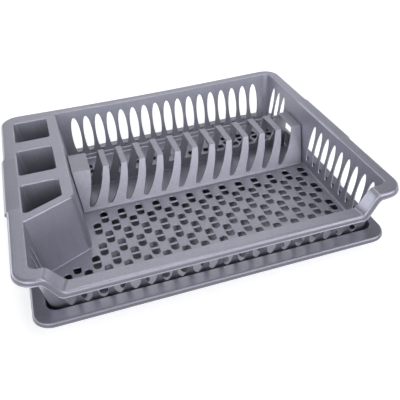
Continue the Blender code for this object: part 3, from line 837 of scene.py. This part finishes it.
def rack_outline():
    """Profile of the rack from the side."""
    foot = rack_foot_z()
    top = rack_top_z()
    ceiling = top - RACK_WALL
    front_wall = RACK_WALL / math.cos(math.atan2(RACK_BEND_Y - RACK_FOOT_Y, RACK_HEIGHT))
    inner_round = RACK_ROUND - RACK_WALL
    lip = foot + RACK_FOOT_LIP_HEIGHT
    lip_round = RACK_FOOT_LIP / 2
    corners = [
        (rack_front_y(foot) - RACK_FOOT_LIP, foot),
        (rack_front_y(lip) - RACK_FOOT_LIP, lip),
        (rack_front_y(lip), lip + RACK_FOOT_LIP),
        (rack_front_y(top), top),
        (rack_back_y(top), top),
        (rack_back_y(foot), foot),
        (rack_back_y(foot) - RACK_WALL, foot),
        (rack_back_y(ceiling) - RACK_WALL, ceiling),
        (rack_front_y(ceiling) + front_wall, ceiling),
        (rack_front_y(foot) + front_wall, foot),
    ]
    radii = (0, lip_round, 0, RACK_ROUND, RACK_ROUND, 0, 0, inner_round, inner_round, 0)
    return rounded(corners, radii)


def rack_shell():
    rings = []
    for end in (0, 1):
        rings.append([(rack_ends(height)[end], y, height) for y, height in rack_outline()])
    return lofted(rings)


def rack_edge_outline(grown):
    """Profile of the raised edge, from inside the rack's wall to an amount past its outside."""
    low = rack_foot_z() + RACK_FOOT_LIP_HEIGHT + 2 * RACK_FOOT_LIP
    top = rack_top_z()
    half = RACK_WALL / 2
    corners = [
        (rack_front_y(low) - grown, low),
        (rack_front_y(top) - grown, top + grown),
        (rack_back_y(top) + grown, top + grown),
        (rack_back_y(low) + grown, low),
        (rack_back_y(low) - half, low),
        (rack_back_y(top) - half, top - half),
        (rack_front_y(top) + half, top - half),
        (rack_front_y(low) + half, low),
    ]
    inner_round = RACK_ROUND - half
    return rounded(corners, (0, RACK_ROUND, RACK_ROUND, 0, 0, inner_round, inner_round, 0))


def rack_edges():
    """A raised edge runs up the front of the left end and back over its top."""
    rings = []
    for across, grown in (
        (RACK_EDGE_DEPTH / 4, RACK_EDGE / 2),
        (RACK_EDGE_DEPTH / 2, RACK_EDGE),
        (RACK_EDGE_DEPTH, RACK_EDGE),
        (RACK_EDGE_DEPTH + RACK_EDGE_FADE, -RACK_EDGE / 2),
    ):
        outline = rack_edge_outline(grown)
        rings.append([(rack_ends(height)[0] + across, y, height) for y, height in outline])
    return lofted(rings)


def along_curve(shares, values, place):
    """Smooth curve through listed values, by cubic pieces with matched slopes."""
    slopes = []
    for index in range(len(shares)):
        before = max(index - 1, 0)
        after = min(index + 1, len(shares) - 1)
        slopes.append((values[after] - values[before]) / (shares[after] - shares[before]))
    index = 0
    while index < len(shares) - 2 and place > shares[index + 1]:
        index += 1
    span = shares[index + 1] - shares[index]
    t = (place - shares[index]) / span
    return (
        (2 * t ** 3 - 3 * t ** 2 + 1) * values[index]
        + (t ** 3 - 2 * t ** 2 + t) * span * slopes[index]
        + (3 * t ** 2 - 2 * t ** 3) * values[index + 1]
        + (t ** 3 - t ** 2) * span * slopes[index + 1]
    )


def rack_slot_edges(slot, share):
    """Left and right edge of a plate slot at one of its heights."""
    shift = along_curve(RACK_HEIGHT_SHARES, RACK_SHIFT_SHARES, share)
    centre = RACK_FIRST_SLOT_X + RACK_PITCH * (slot + shift)
    half_width = RACK_PITCH * along_curve(RACK_HEIGHT_SHARES, RACK_WIDTH_SHARES, share) / 2
    return centre - half_width, centre + half_width


def rack_slot_sides(slot, first, last):
    """Points up the left and the right side of a plate slot, between two shares of its height."""
    low = rack_foot_z() + RACK_SILL
    left_side = []
    right_side = []
    for step in range(EDGE_STEPS + 1):
        share = mix(first, last, (step / EDGE_STEPS) ** EDGE_CROWDING)
        left, right = rack_slot_edges(slot, share)
        height = mix(low, rack_top_z(), share)
        left_side.append((left, height))
        right_side.append((right, height))
    return left_side, right_side


def rack_share(height):
    low = rack_foot_z() + RACK_SILL
    return (height - low) / (rack_top_z() - low)


def rack_slots():
    """Plate slots through the front and the top."""
    bm = bmesh.new()
    ends = (RACK_FOOT_Y - OVERRUN, RACK_BACK_Y - RACK_BACK_LEAN - RACK_WALL - GAP)
    for slot in range(RACK_SLOTS):
        left_side, right_side = rack_slot_sides(slot, 0, 1)
        left_side.append((left_side[-1][0], rack_top_z() + OVERRUN))
        right_side.append((right_side[-1][0], rack_top_z() + OVERRUN))
        span_y(bm, left_side + right_side[::-1], ends)
    return bm


def rack_notches():
    """Each slot runs out over the rear panel, whose top edge lies lower than the fingers."""
    bm = bmesh.new()
    top = rack_top_z()
    low = top - RACK_NOTCH
    ends = (RACK_BACK_Y - RACK_BACK_LEAN - 2 * RACK_WALL, RACK_BACK_Y + OVERRUN)
    for slot in range(RACK_SLOTS):
        low_left, low_right = rack_slot_edges(slot, rack_share(low))
        left, right = rack_slot_edges(slot, 1)
        left_side = [(low_left, low), (left, top), (left, top + OVERRUN)]
        outline = left_side + [(right, top + OVERRUN), (right, top), (low_right, low)]
        span_y(bm, outline, ends)
    return bm


def rack_windows():
    """The rear panel has openings of the same form as the slots."""
    bm = bmesh.new()
    first = rack_share(rack_foot_z() + RACK_BACK_SILL)
    last = rack_share(rack_top_z() - RACK_NOTCH - RACK_BACK_RAIL)
    ends = (RACK_BACK_Y - RACK_BACK_LEAN - RACK_WALL - OVERRUN, RACK_BACK_Y + OVERRUN)
    for slot in range(RACK_SLOTS):
        left_side, right_side = rack_slot_sides(slot, first, last)
        span_y(bm, left_side + right_side[::-1], ends)
    return bm


def rack_foot_bar():
    """A low bar inside the foot of the rear panel."""
    bm = bmesh.new()
    foot = rack_foot_z()
    back = RACK_BACK_Y - RACK_BACK_LEAN - RACK_WALL / 2
    front = back - RACK_WALL / 2 - RACK_FOOT_BAR
    top = foot + RACK_FOOT_BAR
    outline = rounded(box_corners(front, back, foot, top), (0, 0, 0, RACK_FOOT_BAR / 2))
    left, right = rack_ends(foot)
    span_x(bm, outline, (left + RACK_WALL, right - RACK_WALL))
    return bm


def make_rack():
    return shaped("rack_body", rack_shell(), [
        ("UNION", rack_edges()),
        ("UNION", rack_foot_bar()),
        ("DIFFERENCE", rack_slots()),
        ("DIFFERENCE", rack_windows()),
        ("DIFFERENCE", rack_notches()),
    ])


# Drip tray

def tray_bounds():
    return Bounds(TRAY_LEFT, TRAY_RIGHT, TRAY_FRONT, TRAY_BACK, TRAY_CORNER)


def tray_shell():
    stations = ring_stations(False)
    rim = tray_bounds()
    mouth = inner_bounds(TRAY_RIM_TOP).grown(WALL + TRAY_PLAY)
    mouth.front -= TRAY_PLAY_FRONT - TRAY_PLAY
    well = mouth.grown(-TRAY_WELL_LEAN)
    rings = []

    def add(bounds, height, bulge=0):
        rings.append([ring_point(station, bounds, bulge) + (height,) for station in stations])

    def rim_ring(grown, height):
        add(rim.grown(grown), height, TRAY_BULGE)

    for angle in quarter(ROUND_STEPS):
        add(well.grown(-sine_gap(TRAY_ROUND, angle)), TRAY_WALL + cosine_gap(TRAY_ROUND, angle))
    for angle in quarter(ROUND_STEPS):
        add(mouth.grown(cosine_gap(TRAY_ROUND, angle)), TRAY_RIM_TOP - sine_gap(TRAY_ROUND, angle))
    for angle in quarter(ROUND_STEPS + 2):
        drop = cosine_gap(TRAY_LIP_ROUND, angle)
        rim_ring(-sine_gap(TRAY_LIP_ROUND, angle) - TRAY_BEAD, TRAY_RIM_TOP - drop)
    for rise, grown in skirt_edge(TRAY_WALL, TRAY_BEAD):
        rim_ring(grown, TRAY_RIM_TOP - TRAY_SKIRT + rise)
    rim_ring(-TRAY_WALL, TRAY_RIM_TOP - 2 * TRAY_WALL)
    rim_ring(-TRAY_LIP_ROUND - TRAY_BEAD, TRAY_RIM_TOP - TRAY_WALL)
    add(mouth.grown(TRAY_WALL + TRAY_ROUND / 2), TRAY_RIM_TOP - TRAY_WALL)
    add(mouth.grown(TRAY_WALL), TRAY_RIM_TOP - TRAY_WALL - TRAY_ROUND / 2)
    for angle in quarter(ROUND_STEPS):
        add(well.grown(TRAY_WALL - cosine_gap(TRAY_ROUND, angle)), sine_gap(TRAY_ROUND, angle))
    return lofted(rings)


def make_tray():
    return shaped("tray_body", tray_shell(), [])


# Finish

# Base colour, roughness and noise seed, then reach, openness limit and share of the painted shade
# in sheltered places
BASKET_FINISH_AND_SHADE = ((0.320, 0.322, 0.384), 0.36, 1.0, 0.05, 0.62, 0.52)
RACK_FINISH_AND_SHADE = ((0.318, 0.318, 0.374), 0.38, 2.0, 0.10, 0.62, 1.0)
# The tray's base colour is darker than the basket's same plastic, as painted shade over the whole
# tray.
TRAY_FINISH_AND_SHADE = ((0.260, 0.258, 0.308), 0.34, 3.0, 0.05, 0.62, 0.0)
METALLIC = 0.60
PLASTIC_IOR = 1.48
# Scale, detail, roughness and Z stretch of a noise, then two of its values and their shares
CLOUDS = ((14, 3, 0.55, 1), (0.3, 0.7, 0, 1))
STREAKS = ((380, 2, 0.5, 0.08), (0.35, 0.65, 0, 0.26))
FLAKES = ((900, 1, 0.5, 1), (0.52, 0.72, 0, 0.36))
# The shares of the rough patches come from the finish, and the grain is taken as it is
ROUGH_PATCHES = ((60, 4, 0.6, 1), (0.3, 0.7))
ROUGH_SPREAD = 0.05
GRAIN = (1400, 2, 0.5, 1)
GRAIN_STRENGTH = 0.10
GRAIN_DEPTH = 0.0002
# Cosines of the turn at an edge with a painted highlight and of a skirt's slope for its painted
# shade, and their shares
EDGE_HIGHLIGHT_RANGE = (0.995, 0.80, 0, 0.55)
STEEP_RANGE = (0.70, 0.30, 0, 1)
# Where the painted shade on the skirt starts and is full, inside the rim's outline
SKIRT_SHADE_INSETS = (0.0026, 0.0012)
SKIRT_SHADE_FULL = 0.85
# Openness below which a place gets the full painted shade
OCCLUSION_SHADE_START = 0.12
# Factors on the base colour
CLOUD_TINTS = (0.96, 1.04)
STREAK_TINT = 0.70
FLAKE_TINT = 1.45
SKIRT_SHADE_TINT = 0.40
EDGE_HIGHLIGHT_TINT = 1.30
OCCLUSION_SHADE_TINT = 0.26
ROUNDED_EDGE_REACH = 0.0007
ROUNDED_EDGE_SAMPLES = 6
OCCLUSION_SHADE_SAMPLES = 8
# Sockets of a colour mix node
MIX_COLOURS = (6, 7)
MIX_RESULT = 2


class Graph:
    """Adds nodes to a material or a world and joins them."""

    def __init__(self, owner):
        owner.use_nodes = True
        self.nodes = owner.node_tree.nodes
        self.links = owner.node_tree.links

    def add(self, kind, operation=None):
        made = self.nodes.new("ShaderNode" + kind)
        if operation:
            made.operation = operation
        return made

    def fill(self, socket, value):
        """Link an output to the socket, or set its value."""
        if isinstance(value, bpy.types.NodeSocket):
            self.links.new(value, socket)
        else:
            socket.default_value = value

    def maths(self, operation, first, second):
        made = self.add("Math", operation)
        self.fill(made.inputs[0], first)
        self.fill(made.inputs[1], second)
        return made.outputs["Value"]

    def vector_maths(self, operation, first, second=(0, 0, 0)):
        made = self.add("VectorMath", operation)
        self.fill(made.inputs[0], first)
        self.fill(made.inputs[1], second)
        return made.outputs["Value" if operation in ("LENGTH", "DOT_PRODUCT") else "Vector"]

    def ranged(self, source, low, high, to_low=0, to_high=1, smooth=False):
        made = self.add("MapRange")
        if smooth:
            made.interpolation_type = "SMOOTHSTEP"
        made.inputs["From Min"].default_value = low
        made.inputs["From Max"].default_value = high
        made.inputs["To Min"].default_value = to_low
        made.inputs["To Max"].default_value = to_high
        self.fill(made.inputs["Value"], source)
        return made.outputs["Result"]

    def noise(self, place, seed, scale, detail, roughness, stretch):
        """Noise at a place; the seed picks one of many patterns."""
        spread = self.add("Mapping")
        spread.inputs["Scale"].default_value = (1, 1, stretch)
        self.fill(spread.inputs["Vector"], place)
        made = self.add("TexNoise")
        made.noise_dimensions = "4D"
        made.inputs["W"].default_value = seed
        made.inputs["Scale"].default_value = scale
        made.inputs["Detail"].default_value = detail
        made.inputs["Roughness"].default_value = roughness
        self.fill(made.inputs["Vector"], spread.outputs["Vector"])
        return made.outputs["Fac"]

    def blended(self, share, first, second):
        made = self.add("Mix")
        made.data_type = "RGBA"
        self.fill(made.inputs["Factor"], share)
        for index, value in zip(MIX_COLOURS, (first, second)):
            self.fill(made.inputs[index], value)
        return made.outputs[MIX_RESULT]


def skirt_shade_share(graph, rim, place, normal):
    """Share of painted shade: high on the steep faces along the rim's outline, 0 elsewhere."""
    centre = ((rim.left + rim.right) / 2, (rim.front + rim.back) / 2, 0)
    core = ((rim.right - rim.left) / 2 - rim.corner, (rim.back - rim.front) / 2 - rim.corner, 0)
    past = graph.vector_maths("SUBTRACT", place, centre)
    past = graph.vector_maths("ABSOLUTE", past)
    past = graph.vector_maths("SUBTRACT", past, core)
    past = graph.vector_maths("MAXIMUM", past)
    past = graph.vector_maths("MULTIPLY", past, (1, 1, 0))
    reach = graph.vector_maths("LENGTH", past)
    inner, outer = (rim.corner - inset for inset in SKIRT_SHADE_INSETS)
    outside = graph.ranged(reach, inner, outer, 0, SKIRT_SHADE_FULL)
    steep = graph.ranged(graph.vector_maths("DOT_PRODUCT", normal, (0, 0, 1)), *STEEP_RANGE)
    return graph.maths("MULTIPLY", outside, steep)


def plastic(name, finish_and_shade, rim):
    """Silver-grey pearl plastic: streaks, flakes, satin grain, painted highlights on the edges,
    painted shade on the skirts and in sheltered places.
    """
    colour, roughness, seed, occlusion_shade_reach, occlusion_shade_end, occlusion_shade_share = finish_and_shade
    material = bpy.data.materials.new(name)
    graph = Graph(material)
    shader = graph.nodes["Principled BSDF"]
    place = graph.add("TexCoord").outputs["Object"]
    normal = graph.add("NewGeometry").outputs["Normal"]

    def tinted(factor):
        return tuple(channel * factor for channel in colour) + (1.0,)

    dark, pale = (tinted(tint) for tint in CLOUD_TINTS)
    noise, ends = CLOUDS
    base = graph.blended(graph.ranged(graph.noise(place, seed, *noise), *ends), dark, pale)
    for (noise, ends), tint in ((STREAKS, STREAK_TINT), (FLAKES, FLAKE_TINT)):
        share = graph.ranged(graph.noise(place, seed, *noise), *ends)
        base = graph.blended(share, base, tinted(tint))
    if rim:
        # Painted shade: the steep skirts under the rim's lip are darkened.
        base = graph.blended(skirt_shade_share(graph, rim, place, normal), base, tinted(SKIRT_SHADE_TINT))

    # Rounded-edge normals for shading, and a painted highlight that lightens the base colour where
    # they turn at an edge.
    bevel = graph.add("Bevel")
    bevel.samples = ROUNDED_EDGE_SAMPLES
    bevel.inputs["Radius"].default_value = ROUNDED_EDGE_REACH
    turn = graph.vector_maths("DOT_PRODUCT", bevel.outputs["Normal"], normal)
    base = graph.blended(graph.ranged(turn, *EDGE_HIGHLIGHT_RANGE), base, tinted(EDGE_HIGHLIGHT_TINT))

    # Painted shade: the base colour darkens where ambient occlusion finds the place sheltered, in
    # corners, wells, holes and inside the rack.
    occlusion_shade = graph.add("AmbientOcclusion")
    occlusion_shade.samples = OCCLUSION_SHADE_SAMPLES
    occlusion_shade.inputs["Distance"].default_value = occlusion_shade_reach
    occlusion_shade.only_local = False
    occlusion_shade_mask = graph.ranged(occlusion_shade.outputs["AO"], OCCLUSION_SHADE_START, occlusion_shade_end, occlusion_shade_share, 0)
    base = graph.blended(occlusion_shade_mask, base, tinted(OCCLUSION_SHADE_TINT))
    graph.fill(shader.inputs["Base Color"], base)

    noise, ends = ROUGH_PATCHES
    patches = graph.noise(place, seed, *noise)
    rough = graph.ranged(patches, *ends, roughness - ROUGH_SPREAD, roughness + ROUGH_SPREAD)
    graph.fill(shader.inputs["Roughness"], rough)
    shader.inputs["Metallic"].default_value = METALLIC
    shader.inputs["IOR"].default_value = PLASTIC_IOR

    grain = graph.add("Bump")
    grain.inputs["Strength"].default_value = GRAIN_STRENGTH
    grain.inputs["Distance"].default_value = GRAIN_DEPTH
    graph.fill(grain.inputs["Height"], graph.noise(place, seed, *GRAIN))
    graph.fill(grain.inputs["Normal"], bevel.outputs["Normal"])
    graph.fill(shader.inputs["Normal"], grain.outputs["Normal"])
    return material


def dress(piece, body, node, material):
    piece.data.materials.append(material)
    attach(piece, body)
    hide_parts(node)


# Camera, floor and light

CAMERA_PLACE = Vector((-0.15069, -0.65101, 0.49022))
CAMERA_AZIMUTH = math.radians(-15.40001581)
CAMERA_ELEVATION = math.radians(35.52249519)
CAMERA_ROLL = math.radians(-4.00836453)
CAMERA_LENS = 50.892
SENSOR = 36.0

FLOOR_HALF = 6.0
FLOOR_DROP = 0.0002
FLOOR_COLOUR = (0.60, 0.60, 0.61, 1)
FLOOR_ROUGHNESS = 0.7
FLOOR_GLOW = 0.62

WORLD_COLOUR = (0.97, 0.98, 1.0, 1)
WORLD_BASE = 0.05
# Axis of the direction, where a studio wall starts and is full, its height, fade and strength
WORLD_WALLS = (
    ("Y", -0.15, -0.75, 0.56, 0.10, 2.3),
    ("X", -0.15, -0.75, 0.36, 0.10, 2.1),
    ("Y", 0.15, 0.75, 0.30, 0.10, 1.3),
    ("X", 0.15, 0.75, 0.16, 0.06, 1.0),
)
LAMP_DISTANCE = 1.7
# Name, azimuth and elevation in degrees, size in metres and power in watts of the lamps
LAMPS = (
    ("lamp_front", 22, 55, 1.1, 5.5),
    ("lamp_top", 0, 87, 0.4, 4.5),
    ("lamp_front_right", 50, 25, 0.9, 5.0),
    ("lamp_front_left", -45, 25, 0.9, 2.5),
    ("lamp_back", 169, 46, 1.4, 6.9),
)


def direction(azimuth, elevation):
    """Azimuth 0 looks to the front of the drainer, a right angle to its right."""
    level = math.cos(elevation)
    return Vector((math.sin(azimuth) * level, -math.cos(azimuth) * level, math.sin(elevation)))


def camera_axes():
    back = direction(CAMERA_AZIMUTH, CAMERA_ELEVATION)
    right = Vector((math.cos(CAMERA_AZIMUTH), math.sin(CAMERA_AZIMUTH), 0))
    up = back.cross(right)
    cosine = math.cos(CAMERA_ROLL)
    sine = math.sin(CAMERA_ROLL)
    return right * cosine + up * sine, up * cosine - right * sine, back


def make_camera():
    data = bpy.data.cameras.new("camera")
    data.lens = CAMERA_LENS
    data.sensor_width = SENSOR
    camera = bpy.data.objects.new("camera", data)
    right, up, back = camera_axes()
    camera.matrix_world = Matrix((
        (right.x, up.x, back.x, CAMERA_PLACE.x),
        (right.y, up.y, back.y, CAMERA_PLACE.y),
        (right.z, up.z, back.z, CAMERA_PLACE.z),
        (0, 0, 0, 1),
    ))
    bpy.context.scene.collection.objects.link(camera)
    bpy.context.scene.camera = camera


def make_lamp(name, azimuth, elevation, size, power):
    """Square lamp turned to the drainer."""
    away = direction(math.radians(azimuth), math.radians(elevation))
    data = bpy.data.lights.new(name, "AREA")
    data.shape = "SQUARE"
    data.size = size
    data.energy = power
    lamp = bpy.data.objects.new(name, data)
    lamp.location = away * LAMP_DISTANCE + Vector((0, 0, RIM_TOP / 2))
    lamp.rotation_mode = "QUATERNION"
    lamp.rotation_quaternion = (-away).to_track_quat("-Z", "Y")
    bpy.context.scene.collection.objects.link(lamp)


def background_rays(graph):
    """1 for the rays that show the background: camera, glossy and transmission rays."""
    rays = graph.add("LightPath").outputs
    shown = graph.maths("MAXIMUM", rays["Is Camera Ray"], rays["Is Glossy Ray"])
    return graph.maths("MAXIMUM", shown, rays["Is Transmission Ray"])


def make_floor():
    """A broad pale floor, white to the camera except where the drainer shades it."""
    bm = bmesh.new()
    corners = box_corners(-FLOOR_HALF, FLOOR_HALF, -FLOOR_HALF, FLOOR_HALF)
    bm.faces.new([bm.verts.new((x, y, -FLOOR_DROP)) for x, y in corners])
    floor = object_from("floor", bm)
    material = bpy.data.materials.new("floor_white")
    graph = Graph(material)
    shader = graph.nodes["Principled BSDF"]
    shader.inputs["Base Color"].default_value = FLOOR_COLOUR
    shader.inputs["Roughness"].default_value = FLOOR_ROUGHNESS
    glow = graph.add("Emission")
    glow.inputs["Color"].default_value = (1, 1, 1, 1)
    glow.inputs["Strength"].default_value = FLOOR_GLOW
    nothing = graph.add("Emission")
    nothing.inputs["Strength"].default_value = 0.0
    chosen = graph.add("MixShader")
    graph.fill(chosen.inputs["Fac"], background_rays(graph))
    graph.fill(chosen.inputs[1], nothing.outputs["Emission"])
    graph.fill(chosen.inputs[2], glow.outputs["Emission"])
    added = graph.add("AddShader")
    graph.fill(added.inputs[0], shader.outputs["BSDF"])
    graph.fill(added.inputs[1], chosen.outputs["Shader"])
    graph.fill(graph.nodes["Material Output"].inputs["Surface"], added.outputs["Shader"])
    floor.data.materials.append(material)


def make_world():
    """Studio walls, white low down all round and highest in front, dark overhead."""
    world = bpy.data.worlds.new("studio")
    bpy.context.scene.world = world
    graph = Graph(world)
    split = graph.add("SeparateXYZ")
    graph.fill(split.inputs["Vector"], graph.add("TexCoord").outputs["Generated"])
    total = WORLD_BASE
    for axis, start, full, height, fade, strength in WORLD_WALLS:
        side = graph.ranged(split.outputs[axis], start, full, smooth=True)
        rise = graph.ranged(split.outputs["Z"], height + fade, height - fade, smooth=True)
        wall = graph.maths("MULTIPLY", side, rise)
        total = graph.maths("ADD", total, graph.maths("MULTIPLY", wall, strength))
    ambient = graph.nodes["Background"]
    ambient.inputs["Color"].default_value = WORLD_COLOUR
    graph.fill(ambient.inputs["Strength"], total)


bpy.context.scene.view_settings.view_transform = "Standard"
for make, body, node, slot_name, finish_and_shade, rim in (
    (make_basket, "basket", "basket", "basket_plastic", BASKET_FINISH_AND_SHADE, rim_bounds()),
    (make_rack, "rack", "plate_rack", "plate_rack_plastic", RACK_FINISH_AND_SHADE, None),
    (make_tray, "tray", "drip_tray", "drip_tray_plastic", TRAY_FINISH_AND_SHADE, tray_bounds()),
):
    dress(make(), body, node, plastic(slot_name, finish_and_shade, rim))
make_floor()
make_world()
for name, azimuth, elevation, size, power in LAMPS:
    make_lamp(name, azimuth, elevation, size, power)
make_camera()
